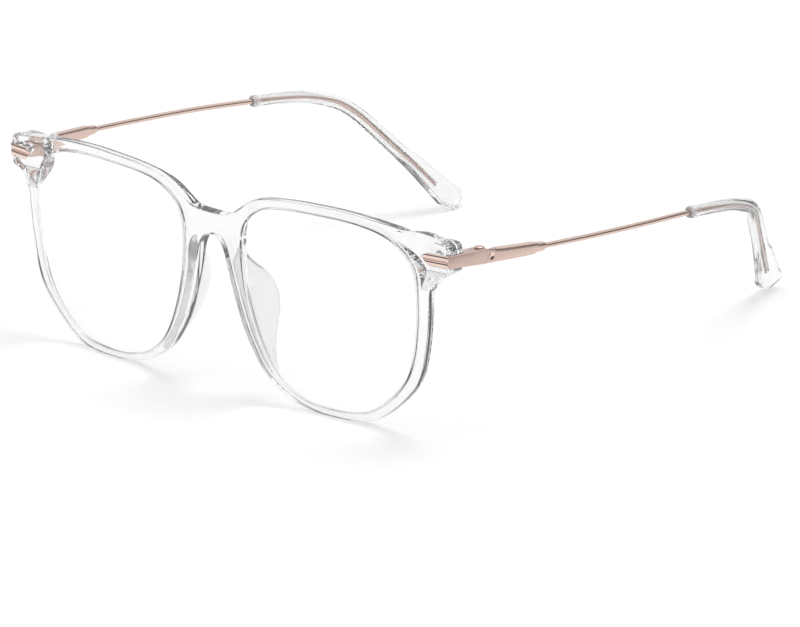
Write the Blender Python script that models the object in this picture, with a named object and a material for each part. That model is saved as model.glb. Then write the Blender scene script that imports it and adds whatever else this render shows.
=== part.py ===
"""Blue light glasses: clear moulded front with two lenses, nose pads, metal
endpieces, screw hinges, wire temples and clear temple tips.

The front faces -Y, the temples run to +Y, +X is the wearer's left. The glasses
stand open on the feet of both rims and on the ends of both temple tips (Z = 0).
Dimensions below are in millimetres and become metres when a mesh is made.
"""

import math

import bmesh
import bpy
import numpy as np
from mathutils import Matrix, Vector
from mathutils.geometry import tessellate_polygon

MM = 0.001

# ---------------------------------------------------------------- dimensions
FRONT_Y = -76.26         # front surface on the centre line, at the foot of the rims
WRAP = 1.257e-3          # the front surface falls back with X squared (radius 398)
LEAN = 0.0652            # the top of the front leans forward (3.7 degrees)
RIM_DEPTH = 2.6
BRIDGE_DEPTH = 3.5
RIM_CHAMFER = 0.35
GROOVE_AT = 1.30         # lens groove, middle, behind the front surface
GROOVE_DEPTH = 0.60
GROOVE_HALF = 0.50

LENS_THICK = 1.6
LENS_GAP = 0.12          # between the lens rim and the opening
LENS_BULGE = 0.70

TEMPLE_Z = 46.34         # temple line at its front corner
TEMPLE_Y = 3.37          # behind FRONT_Y's foot line
TEMPLE_SLOPE = 0.1007    # it drops this much per mm (5.75 degrees)
SEAM_Y = 16.90           # joint between endpiece and temple block
PIVOT_X = 68.90
PIVOT_Y = 17.00
BARREL_R = 1.60
SCREW_R = 0.60
HOLE_R = 0.66
WIRE_R = 0.70
BORE_R = 0.80

LUG_BACK_Y = 9.40        # back face of the lug

# Outline of the front, right half, top centre to bottom centre (X, Z)
OUTLINE = [
    (0.0, 46.1), (2.4, 46.1), (4.7, 46.3), (6.5, 47.0), (8.5, 48.4), (11.2, 50.4),
    (14.2, 52.0), (18.0, 53.0), (22.6, 53.6), (27.5, 54.0), (33.0, 54.2), (39.0, 54.3),
    (44.0, 54.1), (50.0, 53.6), (55.0, 53.0), (60.0, 52.3), (65.0, 51.4), (69.6, 50.5),
    (70.15, 50.25), (70.4, 49.7), (70.4, 46.0), (70.4, 43.0), (70.15, 42.5), (69.5, 42.3),
    (68.2, 42.15), (66.8, 41.4), (65.7, 39.9), (65.1, 38.0), (64.8, 34.3), (64.4, 29.1),
    (63.7, 24.0), (62.8, 19.4), (61.9, 16.2), (60.7, 13.4), (59.0, 11.0), (56.9, 8.6),
    (54.4, 6.2), (51.8, 4.0), (48.5, 1.8), (45.0, 0.6), (41.0, 0.07), (38.8, 0.0), (36.4, 0.0),
    (32.5, 0.12), (28.6, 0.7), (25.4, 1.5), (22.2, 2.8), (19.6, 4.3), (17.1, 6.1),
    (14.9, 8.2), (13.1, 10.8), (11.4, 13.7), (10.0, 16.4), (8.7, 19.8), (7.5, 23.4),
    (6.4, 27.0), (5.4, 30.9), (4.5, 34.6), (3.8, 37.2), (2.7, 39.1), (1.3, 40.0),
    (0.0, 40.2),
]
# Lens opening on the +X side, clockwise from the top inner corner (X, Z)
OPENING = [
    (12.6, 47.3), (15.2, 49.2), (19.0, 50.6), (24.0, 51.3), (33.0, 51.6), (40.0, 51.6),
    (46.0, 51.2), (51.6, 50.1), (55.0, 48.7), (57.6, 46.7), (59.5, 44.4), (60.6, 42.3),
    (61.1, 39.2), (61.2, 34.6), (61.1, 30.4), (60.7, 26.0), (59.9, 21.1), (58.4, 15.8),
    (56.1, 11.8), (53.2, 8.5), (49.8, 5.6), (45.4, 3.1), (40.4, 2.1), (35.0, 1.9),
    (29.6, 2.4), (25.6, 3.5), (21.8, 5.4), (18.5, 8.3), (16.4, 11.2), (14.5, 14.8),
    (12.8, 19.1), (11.4, 23.6), (10.2, 28.8), (9.6, 34.0), (9.4, 38.6), (9.8, 42.5),
    (10.9, 45.4),
]
# Where the lug meets the rim, from the top bar round the corner to the side bar: its outer
# side, and its lens side (X, Z)
LUG_OUTER = [
    (51.0, 53.2), (55.5, 52.6), (60.0, 51.95), (64.6, 51.2), (68.9, 50.4), (69.9, 49.9), (70.3, 49.2),
    (70.3, 46.5), (70.3, 43.5), (69.9, 42.65), (68.6, 42.15), (66.9, 41.3), (65.6, 39.6), (65.0, 37.6),
    (64.75, 35.8),
]
LUG_INNER = [
    (50.6, 51.3), (53.6, 49.85), (56.5, 48.2), (58.6, 46.2), (59.35, 45.25), (59.7, 44.85), (60.0, 44.3),
    (60.5, 43.4), (61.05, 42.3), (61.25, 41.5), (61.4, 40.8), (61.5, 40.1), (61.6, 39.0), (61.65, 37.5),
    (61.65, 35.8),
]
# Temple centre line (X, Y, Z); Y is measured back from the foot of the front
TEMPLE = [
    (70.75, 16.9, 44.98), (71.35, 22.0, 44.5), (72.2, 29.0, 43.9), (72.9, 36.8, 43.3),
    (73.3, 55.0, 41.65), (72.85, 75.0, 39.8), (71.27, 95.2, 37.67), (70.3, 108.0, 36.0),
    (69.6, 114.0, 34.9), (68.9, 118.9, 33.5), (68.3, 121.5, 32.6), (67.4, 124.2, 31.4),
    (66.3, 126.6, 29.8), (65.0, 128.8, 27.8), (63.5, 131.2, 25.2), (60.2, 136.9, 18.6),
    (57.1, 142.1, 12.6), (54.6, 146.6, 7.2), (52.9, 149.4, 3.7), (51.3, 152.1, 0.42),
]
WIRE_END_Y = 146.7       # the core wire stops inside the paddle
TIP_START_Y = 94.6
# Sections of the clear tip: place along the temple (Y), thickness, height, how far the
# middle stands above (behind) the core wire, squareness
TIP_SHAPE = [
    (TIP_START_Y, 2.7, 2.8, 0.0, 2.4), (TIP_START_Y + 0.3, 3.0, 3.1, 0.0, 2.4),
    (TIP_START_Y + 2.9, 3.0, 3.1, 0.0, 2.4), (TIP_START_Y + 3.3, 2.6, 2.75, 0.0, 2.4),
    (104.0, 2.6, 2.9, 0.0, 2.5), (112.0, 2.7, 3.1, 0.0, 2.6), (118.0, 2.8, 3.25, 0.0, 2.6),
    (122.0, 2.8, 3.4, 0.0, 2.7), (125.4, 2.8, 3.6, 0.0, 2.7), (128.8, 2.8, 3.8, 0.0, 2.8),
    (133.0, 2.8, 4.1, 0.1, 2.8), (140.3, 2.7, 4.7, 0.15, 3.0), (141.4, 2.7, 5.4, 0.4, 3.0),
    (143.2, 2.6, 5.9, 0.4, 3.0), (147.0, 2.5, 7.0, 0.45, 3.2), (149.0, 2.4, 7.7, 0.48, 3.4),
    (150.4, 2.4, 7.0, 1.2, 3.4), (151.7, 2.2, 6.2, 1.9, 3.2), (152.1, 1.7, 5.0, 1.9, 2.6),
]

# Rear ridge of the nose pad, top to bottom (X, Y behind the foot line, Z)
PAD_RIDGE = [
    (7.4, 2.2, 38.0), (8.2, 2.6, 36.2), (9.1, 4.6, 33.8), (10.0, 7.3, 31.2), (10.9, 9.3, 28.0),
    (11.4, 10.3, 25.0), (11.8, 10.3, 21.8), (12.3, 9.2, 18.6), (13.2, 7.4, 15.2), (14.7, 5.6, 11.7),
    (16.5, 4.3, 8.6), (18.6, 3.7, 6.2),
]


# ---------------------------------------------------------------- curves
def smooth(points, closed, step):
    """Centripetal Catmull-Rom curve through the points, split so that no piece is
    much longer than step."""
    p = [np.asarray(q, float) for q in points]
    n = len(p)
    if not closed:
        p = [2 * p[0] - p[1]] + p + [2 * p[-1] - p[-2]]
    out = []
    spans = range(n) if closed else range(1, n)
    for i in spans:
        if closed:
            a, b, c, d = p[i - 1], p[i], p[(i + 1) % n], p[(i + 2) % n]
        else:
            a, b, c, d = p[i - 1], p[i], p[i + 1], p[i + 2]
        t1 = np.linalg.norm(b - a) ** 0.5
        t2 = t1 + np.linalg.norm(c - b) ** 0.5
        t3 = t2 + np.linalg.norm(d - c) ** 0.5
        parts = max(1, round(np.linalg.norm(c - b) / step))
        for k in range(parts):
            t = t1 + (t2 - t1) * k / parts
            a1 = a * (t1 - t) / t1 + b * t / t1
            a2 = b * (t2 - t) / (t2 - t1) + c * (t - t1) / (t2 - t1)
            a3 = c * (t3 - t) / (t3 - t2) + d * (t - t2) / (t3 - t2)
            b1 = a1 * (t2 - t) / t2 + a2 * t / t2
            b2 = a2 * (t3 - t) / (t3 - t1) + a3 * (t - t1) / (t3 - t1)
            out.append(b1 * (t2 - t) / (t2 - t1) + b2 * (t - t1) / (t2 - t1))
    if not closed:
        out.append(p[-2])
    return np.array(out)


def offset(loop, amount):
    """The closed loop moved outwards by amount (inwards where it is negative)."""
    before, after = np.roll(loop, 1, axis=0), np.roll(loop, -1, axis=0)
    area = np.sum(loop[:, 0] * after[:, 1] - after[:, 0] * loop[:, 1])
    turn = 1.0 if area > 0 else -1.0

    def normal(v):
        v = v / np.linalg.norm(v, axis=1, keepdims=True)
        return np.stack([v[:, 1], -v[:, 0]], axis=1) * turn

    m = normal(loop - before) + normal(after - loop)
    length = np.linalg.norm(m, axis=1, keepdims=True)
    return loop + m / length * amount * np.minimum(2.0 / length, 1.3)


def surface(xz, depth):
    """Points of the front at (X, Z), a depth behind its front surface."""
    x, z = xz[:, 0], xz[:, 1]
    y = FRONT_Y + WRAP * x * x - LEAN * z + depth
    return np.stack([x, y, z], axis=1)


def ease(t):
    t = np.clip(t, 0.0, 1.0)
    return t * t * (3.0 - 2.0 * t)


def depth_at(x):
    return BRIDGE_DEPTH + (RIM_DEPTH - BRIDGE_DEPTH) * ease((np.abs(x) - 8.0) / 9.0)


# ---------------------------------------------------------------- mesh makers
def colour_material(name, colour, roughness, metallic=0.0, clear=0.0):
    m = bpy.data.materials.new(name)
    m.use_nodes = True
    p = m.node_tree.nodes["Principled BSDF"]
    p.inputs["Base Color"].default_value = (*colour, 1.0)
    p.inputs["Roughness"].default_value = roughness
    p.inputs["Metallic"].default_value = metallic
    p.inputs["Transmission Weight"].default_value = clear
    p.inputs["IOR"].default_value = 1.49
    m.diffuse_color = (*colour, 1.0)
    return m


def body(name, bm, side=1, helper=False, smooth_angle=35.0):
    """Turns a bmesh in millimetres into an object in metres. Side -1 mirrors it in X."""
    if side < 0:
        bmesh.ops.scale(bm, vec=(-1, 1, 1), verts=bm.verts)
    bmesh.ops.recalc_face_normals(bm, faces=bm.faces)
    bmesh.ops.scale(bm, vec=(MM, MM, MM), verts=bm.verts)
    mesh = bpy.data.meshes.new(name)
    bm.to_mesh(mesh)
    bm.free()
    obj = bpy.data.objects.new(name, mesh)
    bpy.context.scene.collection.objects.link(obj)
    if helper:
        obj.hide_render = True
        obj.display_type = "WIRE"
    else:
        mesh.shade_smooth()
        mesh.set_sharp_from_angle(angle=math.radians(smooth_angle))
    return obj


def loft(rings, close_ends=True):
    """A bmesh skinned over rings of equal point count."""
    bm = bmesh.new()
    rows = [[bm.verts.new(p) for p in ring] for ring in rings]
    for a, b in zip(rows, rows[1:]):
        n = len(a)
        for i in range(n):
            bm.faces.new((a[i], a[(i + 1) % n], b[(i + 1) % n], b[i]))
    if close_ends:
        bm.faces.new(rows[0][::-1])
        bm.faces.new(rows[-1])
    return bm


def prism(plan, frame, low, high):
    """The plan polygon (u, v) extruded from low to high along the frame's third axis."""
    rings = [[frame @ Vector((u, v, t)) for u, v in plan] for t in (low, high)]
    return loft(rings)


def disc(radius, count, phase=0.0):
    return [
        (radius * math.cos(2 * math.pi * (i + phase) / count), radius * math.sin(2 * math.pi * (i + phase) / count))
        for i in range(count)
    ]


def turned(profile, frame, count):
    """A solid of revolution about the frame's third axis; profile is (radius, height)."""
    bm = bmesh.new()
    rows = []
    for r, t in profile:
        if r == 0:
            rows.append([bm.verts.new(frame @ Vector((0, 0, t)))])
        else:
            rows.append([bm.verts.new(frame @ Vector((u, v, t))) for u, v in disc(r, count)])
    for a, b in zip(rows, rows[1:]):
        for i in range(count):
            j = (i + 1) % count
            if len(a) == 1:
                bm.faces.new((a[0], b[i], b[j]))
            elif len(b) == 1:
                bm.faces.new((a[i], a[j], b[0]))
            else:
                bm.faces.new((a[i], a[j], b[j], b[i]))
    if len(rows[0]) > 1:
        bm.faces.new(rows[0][::-1])
    if len(rows[-1]) > 1:
        bm.faces.new(rows[-1])
    return bm


def boolean(obj, operation, other):
    mod = obj.modifiers.new(operation.lower() + "_" + other.name, "BOOLEAN")
    mod.operation = operation
    mod.object = other
    mod.solver = "EXACT"


def section(centre, across, up, width, height, count, power=2.6):
    """A rounded rectangle of points about the centre."""
    ring = []
    for i in range(count):
        a = 2 * math.pi * (i + 0.5) / count
        c, s = math.cos(a), math.sin(a)
        u = math.copysign(abs(c) ** (2 / power), c) * width / 2
        v = math.copysign(abs(s) ** (2 / power), s) * height / 2
        ring.append(centre + across * u + up * v)
    return ring


def y_of(back):
    """World Y of a distance behind the foot of the front."""
    return FRONT_Y + back


# ---------------------------------------------------------------- clear the scene
for old in list(bpy.data.objects):
    bpy.data.objects.remove(old, do_unlink=True)

CLEAR = (0.93, 0.94, 0.95)
ROSE = (0.80, 0.62, 0.54)


# ---------------------------------------------------------------- front
def lug_back(x, z):
    """Y of the lug's back, which sinks into the rim towards the bridge and down the side."""
    rim = FRONT_Y + WRAP * x * x - LEAN * z + 2.2
    part = float(ease((x - 54.0) / 8.0) * ease((z - 36.5) / 6.5))
    return rim + (y_of(LUG_BACK_Y) - rim) * part


def lug_sections():
    """Cross sections of the lug, each a loop from its outer side to its lens side and back."""
    sections = []
    for (xo, zo), (xi, zi) in zip(LUG_OUTER, LUG_INNER):
        def at(t):
            x, z = xo + (xi - xo) * t, zo + (zi - zo) * t
            return x, z - (0.2 * max(0.0, min(69.5 - x, 5.0)) * (1 - t) if z > 49.5 else 0.0)

        edge = 0.3 / math.hypot(xi - xo, zi - zo)
        ring = [Vector((x, FRONT_Y + WRAP * x * x - LEAN * z + 2.0, z)) for x, z in ((xo, zo), (xi, zi))]
        for t, down in ((1.0, 0.3), (1.0 - edge, 0.0), (0.75, 0.0), (0.5, 0.0), (0.25, 0.0), (edge, 0.0), (0.0, 0.3)):
            x, z = at(t)
            ring.append(Vector((x, lug_back(x, z) - down, z)))
        sections.append(ring)
    return sections


def front():
    half = smooth(OUTLINE, False, 2.6)
    left_half = half[1:-1][::-1] * np.array([-1.0, 1.0])
    outer = np.concatenate([half, left_half])
    opening = smooth(OPENING, True, 3.0)
    openings = [opening, (opening * np.array([-1.0, 1.0]))[::-1]]

    def rings(loop, sign, groove):
        thick = depth_at(loop[:, 0])
        inset = offset(loop, -sign * RIM_CHAMFER)
        out = [surface(inset, 0.0), surface(loop, RIM_CHAMFER)]
        if groove:
            out.append(surface(loop, GROOVE_AT - GROOVE_HALF))
            out.append(surface(offset(loop, GROOVE_DEPTH), GROOVE_AT))
            out.append(surface(loop, GROOVE_AT + GROOVE_HALF))
        out.append(surface(loop, thick - RIM_CHAMFER))
        out.append(surface(inset, thick))
        return inset, out

    bm = bmesh.new()
    flat, first, last = [], [], []
    for loop, sign, groove in [(outer, 1, False)] + [(o, -1, True) for o in openings]:
        inset, stack = rings(loop, sign, groove)
        rows = [[bm.verts.new(p) for p in ring] for ring in stack]
        for a, b in zip(rows, rows[1:]):
            for i in range(len(a)):
                j = (i + 1) % len(a)
                bm.faces.new((a[i], a[j], b[j], b[i]))
        flat.append([Vector((x, z, 0.0)) for x, z in inset])
        first += rows[0]
        last += rows[-1]
    for tri in tessellate_polygon(flat):
        bm.faces.new([first[i] for i in tri])
        bm.faces.new([last[i] for i in reversed(tri)])
    frame = body("frame_front", bm)
    frame.data.materials.append(colour_material("crystal_front", CLEAR, 0.05, clear=1.0))

    for side, tag in ((1, "left"), (-1, "right")):
        # the lug behind the outer top corner of the rim
        lug = body("lug_" + tag, loft(lug_sections()), side, helper=True)
        boolean(frame, "UNION", lug)

        # recess for the metal inlay on the front of the lug, and for the plate on its side
        inlay = inlay_plan(0.08)
        rings_ = [surface(np.array(inlay, float), d) for d in (-1.5, 0.97)]
        boolean(frame, "DIFFERENCE", body("inlay_recess_" + tag, loft(rings_), side, helper=True))
        rings_ = [plate_section(y, 0.08, 0.0, 2.0) for y in (1.0, 6.0, 12.0)]
        boolean(frame, "DIFFERENCE", body("plate_recess_" + tag, loft(rings_), side, helper=True))
        # stepped holes for the two screws that hold the endpiece, from the back
        for n, (x, z) in enumerate(SCREW_AT):
            axis = screw_frame(x, z)
            cut = turned([(0, -0.5), (0.62, -0.5), (0.62, 5.0), (1.15, 5.0), (1.15, 9.0), (0, 9.0)], axis, 12)
            boolean(frame, "DIFFERENCE", body(f"screw_hole_{n}_{tag}", cut, side, helper=True))
    return frame


SCREW_AT = [(65.9, 47.15), (68.5, 47.15)]


def screw_frame(x, z):
    """Axis of an endpiece screw: the third axis runs back along Y from the front surface."""
    y = FRONT_Y + WRAP * x * x - LEAN * z
    return Matrix.Translation((x, y, z)) @ Matrix(((1, 0, 0), (0, 0, 1), (0, -1, 0))).to_4x4()


# ---------------------------------------------------------------- endpiece
def inlay_line(x):
    return TEMPLE_Z + 0.01 * (70.9 - x)


def inlay_plan(grow):
    """Outline of the pointed inlay on the front, its outer end past the corner."""
    points = [(72.5, -1.65), (65.6, -1.65), (63.0, 0.5), (64.9, 1.65), (72.5, 1.65)]
    return offset(np.array([(x, inlay_line(x) + t) for x, t in points]), grow)


def plate_section(back, grow, inner_gap, reach):
    """Section of the side plate at a distance behind the front; reach widens it outwards."""
    f = (back - TEMPLE_Y) / (SEAM_Y - TEMPLE_Y)
    outer = 70.75 + 0.8 * f + reach
    inner = 69.85 + 0.8 * f - grow + inner_gap
    z = TEMPLE_Z - TEMPLE_SLOPE * (back - TEMPLE_Y)
    h = (3.3 + 0.3 * f) / 2 + grow
    c = 0.0 if reach else 0.18
    pts = [(inner, -h), (outer - c, -h), (outer, -h + c), (outer, h - c), (outer - c, h), (inner, h)]
    # the rear end is square to the temple line, the front end upright
    return [Vector((x, y_of(back) + TEMPLE_SLOPE * t * min(max(f, 0.0), 1.0), z + t)) for x, t in pts]


def hinge_frame():
    """Frame on the hinge axis; its third axis is the axis, square to the temple line."""
    tilt = math.atan(TEMPLE_SLOPE)
    z = TEMPLE_Z - TEMPLE_SLOPE * (PIVOT_Y - TEMPLE_Y)
    return Matrix.Translation((PIVOT_X, y_of(PIVOT_Y), z)) @ Matrix.Rotation(-tilt, 4, "X")


def arc(radius, start, end, count):
    return [
        (radius * math.cos(math.radians(start + (end - start) * i / count)),
         radius * math.sin(math.radians(start + (end - start) * i / count)))
        for i in range(count + 1)
    ]


def endpiece(side, tag):
    # two polished flutes across the front of the lug, pointed at the inner end
    profile = [(-1.65, 0.85), (-1.65, 0.38), (-1.5, 0.1), (-1.25, -0.08), (-0.9, -0.15), (-0.6, -0.1),
               (-0.3, 0.07), (-0.08, 0.3), (0.08, 0.3), (0.3, 0.07), (0.6, -0.1), (0.9, -0.15),
               (1.25, -0.08), (1.5, 0.1), (1.65, 0.38), (1.65, 0.85)]
    stations = (62.0, 65.0, 68.0, 70.7)
    rings = []
    for x in stations:
        ring = []
        for t, d in profile:
            z = inlay_line(x) + t
            ring.append(Vector((x, FRONT_Y + WRAP * x * x - LEAN * z + d, z)))
        rings.append(ring)
    obj = body("endpiece_" + tag, loft(rings), side, smooth_angle=50)
    obj.data.materials.append(colour_material("rose_gold_endpiece_" + tag, ROSE, 0.25, 1.0))
    tip = body("inlay_point_" + tag, loft([surface(np.array(inlay_plan(0.0)), d) for d in (-2.0, 2.0)]), side, True)
    boolean(obj, "INTERSECT", tip)

    front_back = TEMPLE_Y - 0.1
    plate = body("side_plate_" + tag, loft([plate_section(y, 0.0, 0.0, 0.0) for y in (front_back, 9.0, SEAM_Y)]), side, True)
    boolean(obj, "UNION", plate)

    # hinge block with two ears and a slot for the temple's knuckle
    axis = hinge_frame()
    plan = arc(BARREL_R, 0.0, 180.0, 10) + [(-BARREL_R, -5.6), (-0.8, -6.3), (2.1, -6.3), (2.1, -0.16)]
    ears = body("hinge_ears_" + tag, prism(plan, axis, -1.5, 1.5), side, True)
    boolean(obj, "UNION", ears)
    slot_plan = arc(BARREL_R + 0.2, 180.0, 360.0, 10) + [(BARREL_R + 0.2, 3.0), (-BARREL_R - 0.2, 3.0)]
    slot = body("knuckle_slot_" + tag, prism(slot_plan, axis, -0.9, 0.9), side, True)
    boolean(obj, "DIFFERENCE", slot)
    bore = body("ear_bore_" + tag, prism(disc(HOLE_R, 14), axis, -3.0, 3.0), side, True)
    boolean(obj, "DIFFERENCE", bore)
    # blind holes that take the points of the two endpiece screws
    for n, (x, z) in enumerate(SCREW_AT):
        cut = turned([(0, 0.35), (0.62, 0.35), (0.62, 2.0), (0, 2.0)], screw_frame(x, z), 12)
        boolean(obj, "DIFFERENCE", body(f"screw_seat_{n}_{tag}", cut, side, True))

    for n, (x, z) in enumerate(SCREW_AT):
        name = f"endpiece_screw_{'inner' if n == 0 else 'outer'}_{tag}"
        end = y_of(LUG_BACK_Y) - (FRONT_Y + WRAP * x * x - LEAN * z) - 0.25
        shank = turned([(0, 0.42), (0.5, 0.42), (0.56, 0.55), (0.56, 5.06), (1.08, 5.06), (1.08, end - 0.2), (0.9, end),
                        (0, end)], screw_frame(x, z), 12)
        screw = body(name, shank, side)
        screw.data.materials.append(colour_material("steel_" + name, (0.62, 0.58, 0.56), 0.3, 1.0))
    return obj


def hinge_hardware(side, tag):
    axis = hinge_frame()
    # screw: slotted low head on the upper ear, shank through both ears
    profile = [(0, -1.7), (0.45, -1.7), (SCREW_R, -1.55), (SCREW_R, 1.55), (1.25, 1.55), (1.25, 1.8), (0.95, 2.02), (0, 2.02)]
    screw = body("hinge_screw_" + tag, turned(profile, axis, 14), side)
    screw.data.materials.append(colour_material("rose_gold_screw_" + tag, ROSE, 0.3, 1.0))
    slot = prism([(-2.0, -0.16), (2.0, -0.16), (2.0, 0.16), (-2.0, 0.16)], axis, 1.8, 3.0)
    boolean(screw, "DIFFERENCE", body("driver_slot_" + tag, slot, side, True))
    for where, low in (("upper", 0.73), ("lower", -0.87)):
        rings = [[axis @ Vector((u, v, t)) for u, v in disc(r, 14)]
                 for r, t in ((HOLE_R + 0.02, low), (1.45, low), (1.45, low + 0.14), (HOLE_R + 0.02, low + 0.14))]
        bm = loft(rings + [rings[0]], close_ends=False)
        bmesh.ops.remove_doubles(bm, verts=bm.verts, dist=1e-6)
        washer = body(f"hinge_washer_{where}_{tag}", bm, side)
        washer.data.materials.append(colour_material(f"nylon_{where}_{tag}", (0.85, 0.85, 0.83), 0.5))


# ---------------------------------------------------------------- temple
def temple_path():
    return smooth([(x, y_of(y), z) for x, y, z in TEMPLE], False, 1.6)


def frames_along(path, picks):
    """(centre, across, up, tangent) at fractional indices of the path."""
    out = []
    for k in picks:
        i = min(int(k), len(path) - 2)
        f = k - i
        centre = path[i] * (1 - f) + path[i + 1] * f
        a, b = path[max(i - 1, 0)], path[min(i + 2, len(path) - 1)]
        t = Vector(b - a).normalized()
        # the section stands upright at first and turns with the drop behind the ear
        turn = float(ease((centre[1] - FRONT_Y - 112.0) / 14.0))
        across = t.cross(Vector((0, 0, 1))).normalized() * (1 - turn)
        if turn > 0:
            across += Vector((-t.z, 0, t.x)).normalized() * turn
        across = (across - t * across.dot(t)).normalized()
        out.append((Vector(centre), across, across.cross(t), t))
    return out


def index_at_y(path, back):
    """Fractional index of the path at a distance behind the foot of the front."""
    return float(np.interp(y_of(back), path[:, 1], np.arange(len(path))))


def tube(path, start, end, radius, count, every=1.0):
    a, b = index_at_y(path, start), index_at_y(path, end)
    steps = max(2, int(round((b - a) / every)))
    picks = [a + (b - a) * i / steps for i in range(steps + 1)]
    return [section(c, u, v, 2 * radius, 2 * radius, count, 2.0) for c, u, v, _ in frames_along(path, picks)]


def pivot_empty(side, tag):
    empty = bpy.data.objects.new("temple_pivot_" + tag, None)
    bpy.context.scene.collection.objects.link(empty)
    m = hinge_frame()
    empty.location = (side * m.translation.x * MM, m.translation.y * MM, m.translation.z * MM)
    return empty


def hang(obj, empty):
    """Parents a temple piece to the pivot, its mesh measured from the pivot."""
    obj.data.transform(Matrix.Translation(-empty.location))
    obj.parent = empty


def temple(side, tag):
    path = temple_path()
    pivot = pivot_empty(side, tag)
    axis = hinge_frame()

    # block: a thin leaf beside the hinge, then a rounded bar, a shoulder and a neck
    stations = [  # behind the foot, width, height, shift inwards of the centre, roundness
        (SEAM_Y + 0.06, 0.80, 3.55, -0.38, 7.0), (19.25, 0.82, 3.55, -0.36, 6.0), (19.9, 1.9, 3.55, 0.10, 4.5),
        (24.0, 2.0, 3.45, 0.0, 3.6), (29.5, 2.0, 3.25, 0.0, 3.4), (33.0, 1.95, 3.0, 0.0, 3.2),
        (33.9, 1.8, 2.5, 0.0, 2.8), (36.2, 1.75, 2.3, 0.0, 2.4), (36.9, 1.5, 1.7, 0.0, 2.1),
    ]
    rings = []
    for back, width, height, inward, power in stations:
        c, u, v, _ = frames_along(path, [index_at_y(path, back)])[0]
        if back < 21.0:  # square to the hinge near the seam
            u, v = Vector((1, 0, 0)), (axis.to_3x3() @ Vector((0, 0, 1)))
        rings.append(section(c - u * inward, u, v, width, height, 16, power))
    block = body("temple_block_" + tag, loft(rings), side, smooth_angle=40)
    block.data.materials.append(colour_material("rose_gold_block_" + tag, ROSE, 0.25, 1.0))
    helpers = []
    plan = arc(BARREL_R, 60.0, 365.0, 16) + [(1.78, 0.46), (2.3, 0.46), (2.5, 2.2), (1.6, 2.2)]
    helpers.append(("UNION", body("knuckle_" + tag, prism(plan, axis, -0.68, 0.68), side, True)))
    helpers.append(("DIFFERENCE", body("knuckle_bore_" + tag, prism(disc(HOLE_R, 14), axis, -3.0, 3.0), side, True)))
    socket = tube(path, 35.3, 39.0, BORE_R - 0.04, 10)
    helpers.append(("DIFFERENCE", body("wire_socket_" + tag, loft(socket), side, True)))
    stud_at = hinge_frame() @ Vector((2.5, 1.9, 0.0))
    face = stud_plane(path)
    helpers.append(("DIFFERENCE", body("stud_recess_" + tag, prism([(u * 1.06, v * 1.06) for u, v in STUD], face, -0.34, 2.0), side, True)))
    for operation, helper in helpers:
        helper.data.transform(Matrix.Translation(-pivot.location))
        helper.parent = pivot
        boolean(block, operation, helper)
    hang(block, pivot)

    # oval inlay in the leaf, dished
    rings = [[face @ Vector((u * k, v * k, t)) for u, v in STUD]
             for k, t in ((0.95, -0.28), (1.0, -0.22), (1.0, 0.02), (0.9, 0.06), (0.75, -0.06))]
    stud = body("temple_stud_" + tag, loft(rings), side)
    stud.data.materials.append(colour_material("rose_gold_stud_" + tag, ROSE, 0.12, 1.0))
    hang(stud, pivot)

    wire = body("temple_wire_" + tag, loft(tube(path, 35.5, WIRE_END_Y, WIRE_R, 8, 2.4)), side, smooth_angle=60)
    wire.data.materials.append(colour_material("rose_gold_wire_" + tag, ROSE, 0.2, 1.0))
    hang(wire, pivot)

    # clear tip: collar, sleeve, paddle; bored from the front for the wire
    outer = []
    for back, thick, height, shift, power in TIP_SHAPE:
        c, u, v, _ = frames_along(path, [index_at_y(path, back)])[0]
        outer.append(section(c + v * shift, u, v, thick, height, 12, power))
    inner = tube(path, TIP_START_Y, WIRE_END_Y + 0.25, BORE_R, 12, 2.4)
    rings = outer[::-1] + inner
    tip = body("temple_tip_" + tag, loft(rings), side, smooth_angle=45)
    tip.data.materials.append(colour_material("crystal_tip_" + tag, CLEAR, 0.05, clear=1.0))
    hang(tip, pivot)


STUD = [(0.85 * math.cos(2 * math.pi * i / 16), 1.15 * math.sin(2 * math.pi * i / 16)) for i in range(16)]


def stud_plane(path):
    """Frame on the outer face of the leaf, third axis pointing out."""
    c, u, v, t = frames_along(path, [index_at_y(path, 18.55)])[0]
    origin = c + u * 0.83
    return Matrix.Translation(origin) @ Matrix((t, v, u)).transposed().to_4x4()


# ---------------------------------------------------------------- lenses and pads
def lens(side, tag):
    edge = smooth(OPENING, True, 3.4)
    centre = edge.mean(axis=0)
    rim = offset(edge, -LENS_GAP)
    half = LENS_THICK / 2

    def bowl(scale, depth):
        loop = centre + (rim - centre) * scale
        return surface(loop, depth - LENS_BULGE * (1 - scale * scale))

    low, high = GROOVE_AT - half, GROOVE_AT + half
    rings = [bowl(0.03, low), bowl(0.5, low), bowl(1.0, low)]
    rings += [surface(rim, GROOVE_AT - 0.36), surface(offset(edge, GROOVE_DEPTH - 0.2), GROOVE_AT), surface(rim, GROOVE_AT + 0.36)]
    rings += [bowl(1.0, high), bowl(0.5, high), bowl(0.03, high)]
    obj = body("lens_" + tag, loft(rings), side)
    obj.data.materials.append(colour_material("lens_" + tag, (0.97, 0.98, 1.0), 0.0, clear=1.0))


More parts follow.
